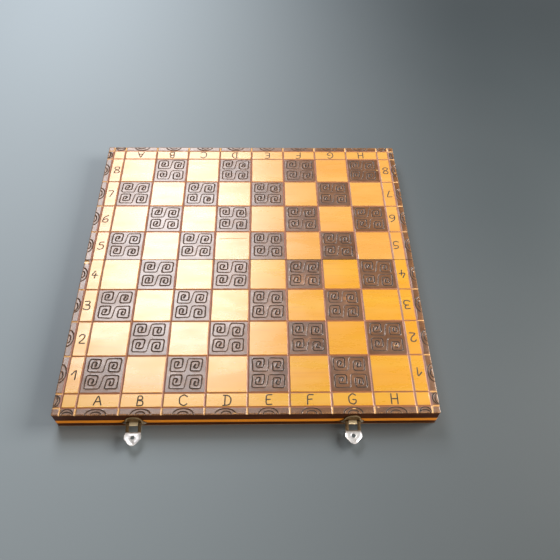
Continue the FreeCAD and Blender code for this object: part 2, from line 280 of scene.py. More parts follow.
LETTERS = {
    "A": [[(0, 0), (0.36, 1), (0.7, 0)], [(0.14, 0.34), (0.6, 0.36)]],
    "B": [[(0.08, 0), (0.1, 1), (0.5, 0.97), (0.55, 0.62), (0.12, 0.53)],
          [(0.12, 0.53), (0.62, 0.48), (0.62, 0.03), (0.08, 0)]],
    "C": [[(0.68, 0.86), (0.4, 1.06), (-0.02, 0.8), (0, 0.15), (0.42, -0.06), (0.7, 0.14)]],
    "D": [[(0.14, 0.02), (0.16, 0.98)], [(0.02, 1), (0.5, 1.0), (0.74, 0.6), (0.62, 0.05), (0, 0)]],
    "E": [[(0.62, 0.98), (0.1, 1), (0.06, 0), (0.6, 0.02)], [(0.08, 0.52), (0.48, 0.52)]],
    "F": [[(0.62, 0.98), (0.1, 1), (0.06, 0)], [(0.08, 0.52), (0.5, 0.52)]],
    "G": [[(0.62, 0.9), (0.38, 1.06), (-0.02, 0.75), (0.02, 0.1), (0.45, -0.06), (0.66, 0.2),
           (0.64, 0.44), (0.34, 0.44)]],
    "H": [[(0.06, 1), (0.04, 0)], [(0.62, 1), (0.62, 0)], [(0.05, 0.5), (0.62, 0.52)]],
    "1": [[(0.05, 0.5), (0.46, 1), (0.44, 0)]],
    "2": [[(0.06, 0.8), (0.22, 1.04), (0.62, 0.96), (0.56, 0.55), (0.02, 0.02), (0.66, 0.02)]],
    "3": [[(0.08, 0.96), (0.6, 1.02), (0.56, 0.58), (0.22, 0.54)],
          [(0.22, 0.54), (0.68, 0.5), (0.62, 0), (0.2, -0.04), (0.02, 0.12)]],
    "4": [[(0.4, 1), (0.02, 0.4), (0.7, 0.44)], [(0.5, 0.68), (0.42, 0)]],
    "5": [[(0.6, 1), (0.14, 0.98), (0.1, 0.56), (0.56, 0.62), (0.62, 0.1), (0.24, -0.04),
           (0.02, 0.1)]],
    "6": [[(0.56, 1), (0.1, 0.72), (0, 0.02), (0.5, -0.04), (0.66, 0.34), (0.4, 0.52),
           (0.06, 0.36)]],
    "7": [[(0.02, 0.96), (0.64, 1), (0.24, 0)]],
    "8": [[(0.3, 0.52), (0, 0.7), (0.1, 1.02), (0.56, 1.02), (0.6, 0.7), (0.1, 0.4), (0, 0.04),
           (0.4, -0.06), (0.66, 0.2), (0.5, 0.42), (0.3, 0.52)]],
}
LETTER_HEIGHT = 11.2
LETTER_MIDDLE = (0.33, 0.5)
LETTER_HALF_WIDTH = 0.58
LETTER_DEPTH = 0.07
LETTER_CORNER = 2.6
LETTER_STEP = 1.2
LETTER_STRAY = 0.8
LETTER_SHAKE = 0.12

# Arches along the border, each a pair of half ellipses standing on the outer edge:
# how far along the edge and how far in from it
ARCHES = ((10.4, 6.6), (5.4, 3.7))
ARCH_HALF_WIDTH = 0.5
ARCH_DEPTH = 0.42
ARCH_BURN = 0.8
ARCH_GAP = 1.5
ARCH_STRAY = 0.5

# A shallow scratch on a light square, in shares of the square
SCRATCHED_SQUARE = (3, 4)
SCRATCH = ((0.12, 0.27), (0.45, 0.25), (0.9, 0.26))
SCRATCH_HALF_WIDTH = 0.4
SCRATCH_DEPTH = 0.12
SCRATCH_BURN = 0.3


class Cell:
    """One rectangle of the playing face between grooves."""

    def __init__(self, half, column, row):
        self.x0, self.x1 = COLUMNS[column], COLUMNS[column + 1]
        self.y0, self.y1 = half.rows[row], half.rows[row + 1]
        self.rng = np.random.default_rng([SEED, column, int(self.y0 + 300)])
        self.half = half
        from_low = half.inward > 0
        from_outer = row if from_low else len(half.rows) - 2 - row
        from_side = min(column, len(COLUMNS) - 2 - column)
        self.border_row = from_outer == 0
        self.border_column = from_side == 0
        border = self.border_row or self.border_column
        file = column - 2
        rank = half.first_rank + (row - 2 if from_low else row)
        on_file = 0 <= file < SQUARES
        on_rank = from_outer >= 2
        self.dark = border or (on_file and on_rank and (file + rank) % 2 == 0)
        self.tone = self.rng.uniform()
        self.lines = []
        if border:
            self.lines = self.arches()
        elif self.dark:
            self.lines = self.meander()
        elif (file, rank) == SCRATCHED_SQUARE:
            path = rounded([(self.x0 + SQUARE * u, self.y1 - SQUARE * v) for u, v in SCRATCH], 1, 2.0)
            self.lines = [Line(path, SCRATCH_HALF_WIDTH, SCRATCH_DEPTH, SCRATCH_BURN)]
        elif on_file and from_outer == 1:
            self.lines = self.letter("ABCDEFGH"[file], half.name == "back")
        elif on_rank and from_side == 1:
            self.lines = self.letter("12345678"[rank], column > SQUARES)

    def holds(self, p):
        """Which points lie in the cell."""
        return ((p >= (self.x0, self.y0)) & (p <= (self.x1, self.y1))).all(axis=1)

    def meander(self):
        """Two rows of linked spirals, each row one line, a little different every time."""
        left = np.array(LEFT_SPIRAL)
        right = 2 * np.array(MEANDER_MIDDLE) - left[::-1]
        lines = []
        for row in MEANDER_ROWS:
            path = np.vstack((left[:-1], right[1:]))
            path = path + self.rng.normal(0, MEANDER_LOOSENESS, path.shape)
            path = path * self.rng.uniform(*MEANDER_SCALE, 2) + (0, row)
            lean = self.rng.normal(0, MEANDER_LEAN)
            u, v = path[:, 0], path[:, 1]
            x = self.x0 + SQUARE * (u + lean * (v - 0.5))
            y = self.y1 - SQUARE * v
            points = rounded(pairs(x, y), MEANDER_CORNER, MEANDER_STEP)
            along = np.linspace(-1, 1, len(points))
            swell = 1 + CENTRE_SWELL * unit((np.abs(along) - SWELL_START) / (SWELL_FULL - SWELL_START))
            uneven = 1 + 0.12 * np.sin(along * 40 + self.rng.uniform(0, 6))
            firm = unit(np.abs(along) * 1.6 + self.rng.uniform(0.05, 0.35))
            width = MEANDER_HALF_WIDTH * swell * uneven * (0.72 + 0.28 * firm)
            depth = MEANDER_DEPTH * (0.6 + 0.4 * firm)
            lines.append(Line(points, width, depth, 0.45 + 0.55 * firm))
        return lines

    def arches(self):
        """Arches that stand on the outer edge, centred on the cell."""
        lines = []
        cx, cy = (self.x0 + self.x1) / 2, (self.y0 + self.y1) / 2
        if self.border_row and self.border_column:
            return lines
        span = (self.x1 - self.x0 if self.border_row else self.y1 - self.y0) / 2
        turns = np.linspace(0, math.pi, 19)
        for reach, rise in ARCHES:
            reach = min(reach, span - ARCH_GAP) * self.rng.uniform(0.94, 1.04)
            rise = rise * self.rng.uniform(0.92, 1.04)
            side = reach * np.cos(turns) + self.rng.normal(0, ARCH_STRAY)
            up = rise * np.sin(turns)
            if self.border_row:
                points = pairs(cx + side, self.half.outer + self.half.inward * up)
            elif cx < 0:
                points = pairs(self.x0 + up, cy + side)
            else:
                points = pairs(self.x1 - up, cy + side)
            lines.append(Line(points, ARCH_HALF_WIDTH, ARCH_DEPTH, ARCH_BURN))
        return lines

    def letter(self, name, turned):
        """A coordinate letter or number in plain strokes."""
        centre = np.array(((self.x0 + self.x1) / 2, (self.y0 + self.y1) / 2))
        centre = centre + self.rng.normal(0, LETTER_STRAY, 2) * (1, 0.3)
        lines = []
        for stroke in LETTERS[name]:
            points = (np.array(stroke) - LETTER_MIDDLE) * LETTER_HEIGHT
            points = points + self.rng.normal(0, LETTER_SHAKE, points.shape)
            points = rounded(points, LETTER_CORNER, LETTER_STEP)
            points = centre + (-points if turned else points)
            lines.append(Line(points, LETTER_HALF_WIDTH, LETTER_DEPTH))
        return lines


# ---- Wear ----

# Chips down to bare wood: centre, reach along X and Y, drop, and how bare
CHIPS = (
    (-197.0, -3.4, 4.2, 2.6, 1.1, 1.0),
    (110.5, -194.6, 2.2, 0.7, 0.3, 1.0),
    (173.2, 155.0, 1.4, 1.0, 0.2, 0.7),
    (163.5, -120.5, 2.4, 0.9, 0.15, 0.45),
    (136.0, -193.5, 1.4, 0.7, 0.3, 0.8),
    (197.6, 150.5, 1.0, 2.0, 0.4, 0.6),
    (-12.5, -198.6, 1.8, 0.7, 0.4, 0.9),
)
CHIP_REACH = 1.05
CHIP_FADE = 0.35

# Places where the stain is rubbed down to orange: centre, reach along X and Y, and how far
RUBS = (
    (66.0, -30.0, 17.0, 9.0, 0.75),
    (112.5, -57.0, 5.0, 9.0, 0.8),
    (163.5, -120.5, 6.0, 3.0, 0.8),
    (22.0, -68.0, 8.0, 8.0, 0.3),
    (66.0, -112.0, 9.0, 4.0, 0.5),
    (110.0, -154.0, 20.0, 18.0, 0.3),
    (22.0, -192.0, 30.0, 4.0, 0.4),
)
RUB_REACH = 1.0
RUB_FADE = 0.6


def wear(p, x, y, rx, ry, reach, fade):
    """Wear at points: full near a middle, and fading out to none at a reach."""
    return unit((reach - np.hypot((p[:, 0] - x) / rx, (p[:, 1] - y) / ry)) / fade)


def rub_effects(p):
    """How far the stain is rubbed away at points."""
    rubs = [amount * wear(p, *place, RUB_REACH, RUB_FADE) for *place, amount in RUBS]
    return np.max(rubs, axis=0)


def chip_rings():
    """Two uneven rings for each chip: full wear within the first, none past the second."""
    rings = []
    for k, (x, y, rx, ry, _, _) in enumerate(CHIPS):
        rng = np.random.default_rng([SEED, 3, k])
        turns = np.linspace(0, 2 * math.pi, 14, endpoint=False)
        ragged = rng.uniform(0.8, 1.2, len(turns))
        for share in (0.6, 1.0):
            ring = pairs(np.cos(turns) * rx, np.sin(turns) * ry)
            rings.append(np.array((x, y)) + ring * (share * ragged)[:, None])
    return rings


def chip_effects(p):
    """How deep and how bare the wood is chipped at points."""
    shares = [wear(p, *chip[:4], CHIP_REACH, CHIP_FADE) for chip in CHIPS]
    drop = np.max([chip[4] * share for chip, share in zip(CHIPS, shares)], axis=0)
    bare = np.max([chip[5] * share for chip, share in zip(CHIPS, shares)], axis=0)
    return drop, bare


# ---- Carved strips ----


def triangulate(paths, keep):
    """Points and triangles that join paths, where keep finds their centres inside."""
    points, edges = [], []
    for path in paths:
        first = len(points)
        points += [Vector(p) for p in path]
        edges += [(first + i, first + i + 1) for i in range(len(path) - 1)]
    found = delaunay_2d_cdt(points, edges, [], 0, 1e-4)
    flat = np.array([tuple(v) for v in found[0]])
    faces = np.array([f for f in found[2] if len(f) == 3])
    used, faces = np.unique(faces[keep(flat[faces].mean(axis=1))], return_inverse=True)
    return flat[used], faces.reshape(-1, 3)


def rim_of(faces):
    """The sides that only one face has, each as its two points, in the order of the faces."""
    sides = dict.fromkeys((a, b) for face in faces for a, b in zip(face, np.roll(face, -1)))
    return [(a, b) for a, b in sides if (b, a) not in sides]


def store(mesh, name, domain, value):
    """Writes an attribute that the finishes read."""
    layer = mesh.attributes.new(name, "FLOAT", domain)
    layer.data.foreach_set("value", np.array(value, np.float32))


class Strip:
    """A closed strip of panel between two file grooves, from the seam to the outer edge."""

    def __init__(self, half, name, columns):
        self.half = half
        self.name = name
        self.x0, self.x1 = COLUMNS[columns[0]], COLUMNS[columns[-1] + 1]
        rows = range(len(half.rows) - 1)
        self.cells = [Cell(half, c, r) for c in columns for r in rows]
        self.file_lines = [k for k, x in enumerate(COLUMNS)
                           if self.x0 <= x <= self.x1 and abs(x) < HALF_WIDTH]
        self.rank_lines = [k for k, y in enumerate(half.rows) if half.low < y < half.high]

    def outline(self):
        """Corners of the strip, anticlockwise, with the board's own corners rounded."""
        corners = [(self.x0, self.half.low), (self.x1, self.half.low),
                   (self.x1, self.half.high), (self.x0, self.half.high)]
        points = []
        for x, y in corners:
            if abs(x) < HALF_WIDTH or y != self.half.outer:
                points.append((x, y))
                continue
            cx, cy = x - math.copysign(CORNER, x), y - math.copysign(CORNER, y)
            middle = math.atan2(y - cy, x - cx)
            for k in range(-3, 4):
                turn = middle + k * math.pi / 12
                points.append((cx + CORNER * math.cos(turn), cy + CORNER * math.sin(turn)))
        return points

    def inside(self, p):
        """Which points lie within the outline."""
        within = (p[:, 0] > self.x0) & (p[:, 0] < self.x1)
        within &= (p[:, 1] > self.half.low) & (p[:, 1] < self.half.high)
        return within & (self.half.edge_distance(p) > 0)

    def rails(self):
        """Every polyline along which the carved surface bends."""
        found = []
        ys = np.arange(self.half.low, self.half.high, GRID_STEP)
        ys = np.append(ys, self.half.high)
        for k in self.file_lines:
            width = FILE_HALF_WIDTH * waver(k, ys)
            for side in (-1, 1):
                for share, more in GROOVE_RAILS:
                    x = COLUMNS[k] + side * (share * width + more)
                    if self.x0 < x[0] < self.x1:
                        found.append(pairs(x, ys))
        xs = np.linspace(self.x0, self.x1, 1 + round((self.x1 - self.x0) / GRID_STEP))
        for k in self.rank_lines:
            width = self.half.rank_width(k, xs)
            for side in (-1, 1):
                for share, more in GROOVE_RAILS[1:]:
                    found.append(pairs(xs, self.half.rows[k] + side * (share * width + more)))
            found.append(pairs(xs, self.half.rows[k]))
        inward = self.half.inward
        for reach in EDGE_RAILS:
            found.append(pairs(xs, self.half.outer + inward * reach))
            for side in (-1, 1):
                x = side * (HALF_WIDTH - reach)
                if self.x0 < x < self.x1:
                    found.append(pairs(x, ys))
        found += [pairs(xs, self.half.seam - inward * reach) for reach in SEAM_RAILS]
        for cell in self.cells:
            for line in cell.lines:
                found += [closed(loop) for loop in loops_round(line)]
                found.append(line.points)
        found += [closed(ring) for ring in chip_rings() if self.inside(ring).any()]
        return found

    def grid_share(self, p):
        """How far into a file groove and into a rank groove points are, from 0 to 1."""
        by_file, by_rank = np.zeros(len(p)), np.zeros(len(p))
        for k in self.file_lines:
            width = FILE_HALF_WIDTH * waver(k, p[:, 1])
            by_file = np.maximum(by_file, 1 - np.abs(p[:, 0] - COLUMNS[k]) / width)
        for k in self.rank_lines:
            width = self.half.rank_width(k, p[:, 0])
            by_rank = np.maximum(by_rank, 1 - np.abs(p[:, 1] - self.half.rows[k]) / width)
        return by_file, by_rank

    def carve(self, p):
        """Height of the surface at points, and what the finish has to know there."""
        by_file, by_rank = self.grid_share(p)
        cut = np.maximum(FILE_DEPTH * by_file, RANK_DEPTH * by_rank)
        lip, burn = np.zeros(len(p)), np.zeros(len(p))
        for cell in self.cells:
            near = cell.holds(p)
            if not cell.lines or not near.any():
                continue
            share, depth, dark = distance_in_widths(p[near], cell.lines)
            hollow = np.where(share < 1, np.cos(unit(share) * math.pi / 2) ** HOLLOW_FULLNESS, 0)
            rise = unit(1 - np.abs(share - LINE_RAILS[2]) / LIP_REACH)
            cut[near] = np.maximum(cut[near], depth * hollow)
            lip[near] = rise * depth * LIP_SHARE
            burn[near] = dark * unit((BURN_END - share) / BURN_FADE)
        edge = self.half.edge_distance(p)
        ragged = 1 + EDGE_RAGGEDNESS * np.sin(p[:, 0] * 1.7) * np.sin(p[:, 1] * 1.3)
        cut_edge = EDGE_DROP * ragged * rounding(edge / EDGE_RADIUS)
        cut_seam = SEAM_DROP * rounding(np.abs(p[:, 1] - self.half.seam) / SEAM_RADIUS)
        chip, bare = chip_effects(p)
        height = TOP - cut + np.where(cut > 0, 0, lip) - np.maximum(cut_edge, cut_seam) - chip
        in_border_row = np.abs(self.half.outer - p[:, 1]) < BORDER
        in_border_column = np.abs(p[:, 0]) > HALF_WIDTH - BORDER
        cut_through = by_file * in_border_row + by_rank * in_border_column
        values = {
            "file_groove": by_file,
            "rank_groove": by_rank,
            "burn": burn,
            "lip": lip / (MEANDER_DEPTH * LIP_SHARE),
            "edge": unit(1 - edge / (EDGE_WEAR_REACH * EDGE_RADIUS)),
            "bare": np.maximum(bare, unit(cut_through)),
            "rub": rub_effects(p),
        }
        return height.clip(BOTTOM + LEAST_THICKNESS, None), values

    def mesh(self):
        """The strip as one closed mesh."""
        flat, faces = triangulate(self.rails() + [closed(self.outline())], self.inside)
        height, values = self.carve(flat)
        return self.close(flat, height, faces, values)

    def close(self, flat, height, faces, values):
        """Adds the walls, which take the second material, and the underside, and the attributes."""
        rim = dict(rim_of(faces))
        start = next(iter(rim))
        loop = [start]
        while rim[loop[-1]] != start:
            loop.append(rim[loop[-1]])
        count = len(flat)
        top = np.column_stack((flat, height))
        under = np.column_stack((flat[loop], np.full(len(loop), BOTTOM)))
        below = {v: count + i for i, v in enumerate(loop)}
        walls = [(a, below[a], below[b], b) for a, b in rim.items()]
        under_faces = delaunay_2d_cdt([Vector(p) for p in flat[loop]], [],
                                      [list(range(len(loop)))], 1, 1e-6)
        floor = [tuple(count + v for v in face[::-1]) for face in under_faces[2]]
        mesh = bpy.data.meshes.new(self.name)
        verts = np.vstack((top, under)) * MM
        mesh.from_pydata(verts.tolist(), [], faces.tolist() + walls + floor)
        for name, value in values.items():
            store(mesh, name, "POINT", np.append(value, np.zeros(len(loop))))
        on_face = np.zeros((3, len(mesh.polygons)))
        on_face[:2, :len(faces)] = self.cell_values(flat[faces].mean(axis=1))
        on_face[2, len(faces):len(faces) + len(walls)] = 1
        for name, value in zip(("stain", "tone"), on_face):
            store(mesh, name, "FACE", value)
        mesh.polygons.foreach_set("material_index", on_face[2].astype(np.int32))
        mesh.shade_smooth()
        mesh.set_sharp_from_angle(angle=math.radians(SHARP_WOOD))
        return mesh

    def cell_values(self, centres):
        """Stain and tone of the cell that each face lies in."""
        stain, tone = np.zeros(len(centres)), np.zeros(len(centres))
        for cell in self.cells:
            held = cell.holds(centres)
            stain[held] = cell.dark
            tone[held] = cell.tone
        return stain, tone


def rounding(share):
    """Drop of a rounded edge, from 1 at the edge to 0 where the rounding ends."""
    return 1 - np.sqrt(1 - (1 - unit(share)) ** 2)


def add_object(name, data):
    """A new object in the scene."""
    made = bpy.data.objects.new(name, data)
    bpy.context.scene.collection.objects.link(made)
    return made


def make_piece(mesh, body, material, replaced):
    """A visible piece of the board, riding on a CAD body in place of a CAD node."""
    made = add_object(mesh.name, mesh)
    mesh.materials.append(material)
    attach(made, body)
    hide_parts(replaced)
    return made


# ---- Stamped clasps ----

SHEET = 0.8
SHEET_BEVEL = 0.12
SHARP_SHEET = 32
PIN_LOW, PIN_HIGH = (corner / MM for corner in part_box("left_clasp_pin"))
PIVOT_Y = (PIN_LOW.y + PIN_HIGH.y) / 2
PIVOT_Z = (PIN_LOW.z + PIN_HIGH.z) / 2
CURL_RADIUS = 1.6

# The hasp: half widths of its blank, and its rise above the pivot, at distances from the pivot.
# The window's side comes the same way, and the rest is the curls, the hole and the dimple.
HASP_SIDE = ((8.0, 0.56), (8.0, 10.2), (8.7, 12.0), (8.7, 15.6), (3.6, 21.6), (0.9, 23.3))
HASP_RISE = ((0.56, 1.5), (7.7, -1.1), (8.7, -1.4), (9.8, -1.5), (21.2, -1.5), (22.2, -1.3),
             (23.4, -0.7))
HASP_WINDOW = ((4.7, 0.56), (4.7, 7.2), (4.4, 8.0), (3.7, 8.3))
HASP_CURL = (4.95, 8.0)
HASP_MIDDLE = 14.1
HASP_HOLE_RADIUS = 2.15
HASP_FLANGE = 0.6
HASP_FLANGE_WIDTH = 1.8
HASP_TONGUE = 8.6
FLANGE_START = 9.0
FLANGE_RAMP = 2.5
ARM_MIDDLE = 6.35
ARM_HALF_WIDTH = 1.65
ARM_CROWN = 0.35
ARM_CREASES = (5.6, 7.1)
HOLE_RIM_WIDTH = 0.5
HOLE_RIM_RISE = 0.18
DIMPLE = (1.2, 20.1)
DIMPLE_RADIUS = 0.95
DIMPLE_DEPTH = 0.22
DIMPLE_PAINTED_SHADE = 0.85
BRIGHT_START = 8.2
BRIGHT_RAMP = 3.0

# The plates, as seen from outside the board
PLATE_HALF_WIDTH = 8.4
PLATE_ARCH_Z = 14.6
PLATE_BOTTOM_Z = 4.6
PLATE_CURL_HALF_WIDTH = 4.35
BASE_EAR_Z = 8.0
KEEPER_Z = (0.6, 8.4)
KEEPER_EAR_Z = 6.0
EAR_X = 10.4
EAR_RADIUS = 2.6
NUB_Z = 2.8
NUB_STEPS = ((1.7, 0.0), (1.62, 1.0), (1.35, 1.4), (0.8, 1.57), (0.0, 1.6))
RIM_WIDTH = 1.5
RIM_RISE = 0.35
RIM_FALL = 2.2
KEEPER_RIM_RISE = 0.08


def ring(radius, x=0.0, y=0.0, count=28):
    """A closed circle of points."""
    turns = np.linspace(0, 2 * math.pi, count, endpoint=False)
    return pairs(x + radius * np.cos(turns), y + radius * np.sin(turns))


def shrunk(loop, share, centre):
    """The loop drawn in toward a point."""
    return np.array(centre) + share * (np.array(loop) - centre)


def encloses(loop, p):
    """Which points lie within a closed loop."""
    x, y = p[:, :1], p[:, 1:]
    a, b = loop, np.roll(loop, -1, axis=0)
    spans = (a[:, 1] > y) != (b[:, 1] > y)
    steps = np.where(b[:, 1] == a[:, 1], 1.0, b[:, 1] - a[:, 1])
    crossing = a[:, 0] + (y - a[:, 1]) * (b[:, 0] - a[:, 0]) / steps
    return (spans & (x < crossing)).sum(axis=1) % 2 == 1


def distance_to(path, p):
    """Distance of points from a path."""
    return distance_in_widths(p, [Line(path, 1.0, 0.0)])[0]


def stamping(outline, holes, creases, lift, flat_back=False):
    """A closed sheet of metal: its points (across, along, out) and its faces."""
    loops = [closed(np.array(k, float)) for k in [outline] + holes]
    flat, faces = triangulate(
        loops + creases,
        lambda p: encloses(loops[0], p) & ~np.any([encloses(k, p) for k in loops[1:]], axis=0))
    rise = lift(flat)
    back = np.zeros(len(flat)) if flat_back else rise
    solid = np.vstack((np.column_stack((flat, rise + SHEET)), np.column_stack((flat, back))))
    count = len(flat)
    walls = [(b, a, a + count, b + count) for a, b in sorted(rim_of(faces))]
    under = [tuple(v + count for v in face[::-1]) for face in faces]
    return solid, [tuple(f) for f in faces] + under + walls


def curl(path, x0, x1):
    """A closed band of sheet that follows a path in the YZ plane, from x0 to x1."""
    path = np.array(path, float)
    tangent = np.gradient(path, axis=0)
    tangent /= np.linalg.norm(tangent, axis=1)[:, None]
    side = pairs(-tangent[:, 1], tangent[:, 0]) * SHEET / 2
    section = np.vstack((path + side, (path - side)[::-1]))
    count = len(section)
    solid = np.vstack([np.column_stack((np.full(count, x), section)) for x in (x0, x1)])
    faces = [(i, (i + 1) % count, count + (i + 1) % count, count + i) for i in range(count)]
    half = len(path)
    for i in range(half - 1):
        quad = (i, i + 1, count - 2 - i, count - 1 - i)
        faces += [quad[::-1], tuple(count + v for v in quad)]
    return solid, faces


def arc(radius, start, end, step=12):
    """Points (forward, up) round the pivot, between two angles in degrees from straight out."""
    turns = np.radians(np.linspace(start, end, 1 + round(abs(end - start) / step)))
    return pairs(PIVOT_Y - radius * np.cos(turns), PIVOT_Z + radius * np.sin(turns))


def sheet_mesh(name, parts, bright=None):
    """One mesh of closed parts, each points and faces, with how bright the plating is."""
    verts, faces = [], []
    for solid, part in parts:
        first = sum(len(v) for v in verts)
        verts.append(solid)
        faces += [tuple(first + v for v in face) for face in part]
    verts = np.vstack(verts)
    mesh = bpy.data.meshes.new(name)
    mesh.from_pydata((verts * MM).tolist(), [], [[int(v) for v in face] for face in faces])
    store(mesh, "bright", "POINT", np.zeros(len(verts)) if bright is None else bright(verts))
    work = bmesh.new()
    work.from_mesh(mesh)
    bmesh.ops.recalc_face_normals(work, faces=work.faces)
    work.to_mesh(mesh)
    work.free()
    mesh.shade_smooth()
    mesh.set_sharp_from_angle(angle=math.radians(SHARP_SHEET))
    return mesh


def hasp_parts(x):
    """The hasp about the clasp's middle x: its stamped leaf and two curls round the pin."""
    side = [(w, -s) for w, s in HASP_SIDE]
    notch = [(w, -s) for w, s in HASP_WINDOW]
    mirrored = [(-w, v) for w, v in side]
    outline = notch + [(-w, v) for w, v in notch[::-1]] + mirrored + side[::-1]
    centre = (0.0, -HASP_MIDDLE)
    tongue = np.array(mirrored[1:] + side[:0:-1])
    creases = [shrunk(tongue, share, centre) for share in (0.9, 0.79)]
    creases += [closed(ring(HASP_HOLE_RADIUS + HOLE_RIM_WIDTH, *centre))]
    creases += [closed(ring(DIMPLE_RADIUS * k, DIMPLE[0], -DIMPLE[1], 12)) for k in (0.5, 1.0)]
    for s, _ in HASP_RISE[1:-1]:
        creases.append([(-9.5, -s), (9.5, -s)])
    for w in ARM_CREASES:
        creases += [[(sign * w, -0.6), (sign * w, -8.5)] for sign in (-1, 1)]
    distances, rises = zip(*HASP_RISE)

    def lift(p):
        s = -p[:, 1]
        rise = np.interp(s, distances, rises)
        near_edge = unit(1 - distance_to(tongue, p) / HASP_FLANGE_WIDTH)
        rise += HASP_FLANGE * near_edge * unit((s - FLANGE_START) / FLANGE_RAMP)
        across = np.abs(np.abs(p[:, 0]) - ARM_MIDDLE) / ARM_HALF_WIDTH
        rise -= ARM_CROWN * across ** 2 * unit((HASP_TONGUE - s) / 1.5)
        from_hole = np.hypot(p[:, 0], s - HASP_MIDDLE) - HASP_HOLE_RADIUS
        rise += HOLE_RIM_RISE * unit(1 - from_hole / HOLE_RIM_WIDTH)
        from_dimple = np.hypot(p[:, 0] - DIMPLE[0], s - DIMPLE[1])
        return rise - DIMPLE_DEPTH * unit(1.2 - from_dimple / DIMPLE_RADIUS)

    solid, faces = stamping(outline, [ring(HASP_HOLE_RADIUS, *centre)], creases, lift)
    solid = solid + (x, PIVOT_Y, PIVOT_Z - SHEET / 2)
    parts = [(solid, faces)]
    for sign in (-1, 1):
        inner, outer = (x + sign * w for w in HASP_CURL)
        parts.append(curl(arc(CURL_RADIUS, 66, 350), min(inner, outer), max(inner, outer)))
    return parts


def hasp_brightness(verts):
    """Worn arms, and a tongue whose plating is still bright, with painted shade darkening the dimple.
    """
    reach = PIVOT_Y - verts[:, 1]
    across = verts[:, 0] - (verts[:, 0].min() + verts[:, 0].max()) / 2
    from_dimple = np.hypot(across - DIMPLE[0], reach - DIMPLE[1]) / DIMPLE_RADIUS
    # Painted shade in the dimple's hollow
    dimple_shade = DIMPLE_PAINTED_SHADE * unit(1.25 - from_dimple)
    return unit((reach - BRIGHT_START) / BRIGHT_RAMP) - dimple_shade


def ears(z):
    """The outline of a plate's two ears, right then left, anticlockwise."""
    turns = np.radians(np.arange(-75, 76, 15))
    right = pairs(EAR_X + EAR_RADIUS * np.cos(turns), z + EAR_RADIUS * np.sin(turns))
    left = pairs(-right[:, 0], right[:, 1])[::-1]
    return right, left


def plate_lift(outline, rim_rise, nub=False):
    """How far the face of a plate stands out: a raised rim, and on a keeper the nub."""
    def lift(p):
        edge = distance_to(closed(outline), p)
        rise = rim_rise * unit(1.25 - np.abs(edge / RIM_WIDTH - 0.45) * RIM_FALL)
        if nub:
            radii, heights = zip(*NUB_STEPS[::-1])
            rise = np.maximum(rise, np.interp(np.hypot(p[:, 0], p[:, 1] - NUB_Z), radii, heights))
        return rise
    return lift


def base_parts(x):
    """The base plate about the clasp's middle x, and the curl in the middle that holds the pin."""
    right, left = ears(BASE_EAR_Z)
    turns = np.radians(np.arange(0, 181, 9))
    arch = pairs(np.cos(turns), np.sin(turns)) * PLATE_HALF_WIDTH + (0, PLATE_ARCH_Z)
    foot = [(-PLATE_HALF_WIDTH, PLATE_BOTTOM_Z), (PLATE_HALF_WIDTH, PLATE_BOTTOM_Z)]
    outline = np.vstack((foot, right, arch, left))
    centre = (0.0, 12.0)
    creases = [closed(shrunk(outline, share, centre)) for share in (0.95, 0.9, 0.84)]
    creases = [k[np.abs(k[:, 0]) < PLATE_HALF_WIDTH - 0.2] for k in creases]
    solid, faces = stamping(outline, [], creases, plate_lift(outline, RIM_RISE), flat_back=True)
    front = np.column_stack((x + solid[:, 0], -HALF_REACH - solid[:, 2], solid[:, 1]))
    tab = [(-HALF_REACH - SHEET / 2, PIVOT_Z + CURL_RADIUS)]
    path = np.vstack((tab, arc(CURL_RADIUS, 90, -195)))
    roll = curl(path, x - PLATE_CURL_HALF_WIDTH, x + PLATE_CURL_HALF_WIDTH)
    return [(front, faces), roll]


def keeper_parts(x):
    """The keeper about the clasp's middle x, on the far rail."""
    right, left = ears(KEEPER_EAR_Z)
    low, high = KEEPER_Z
    foot = [(-PLATE_HALF_WIDTH, low), (PLATE_HALF_WIDTH, low)]
    top = [(PLATE_HALF_WIDTH, high + 0.3), (-PLATE_HALF_WIDTH, high + 0.3)]
    outline = np.vstack((foot, right, top, left))
    creases = [closed(shrunk(outline, share, (0.0, 4.5))) for share in (0.9, 0.75)]
    creases += [closed(ring(radius, 0.0, NUB_Z)) for radius, _ in NUB_STEPS[:-1]]
    lift = plate_lift(outline, KEEPER_RIM_RISE, nub=True)
    solid, faces = stamping(outline, [], creases, lift, flat_back=True)
    back = np.column_stack((x + solid[:, 0], BACK_HIGH.y + solid[:, 2], solid[:, 1]))
    return [(back, faces)]


def plate_painted_highlights(verts):
    """Painted highlight on the top of the raised rim, and the outer part of the curl brightest of all:
    brighter metal with a painted highlight.
    """
    out = -HALF_REACH - verts[:, 1]
    rim = 0.45 * unit((out - SHEET - 0.12) / 0.15)
    return np.maximum(rim, unit((out - 1.2) / 0.25))


# ---- Finishes ----


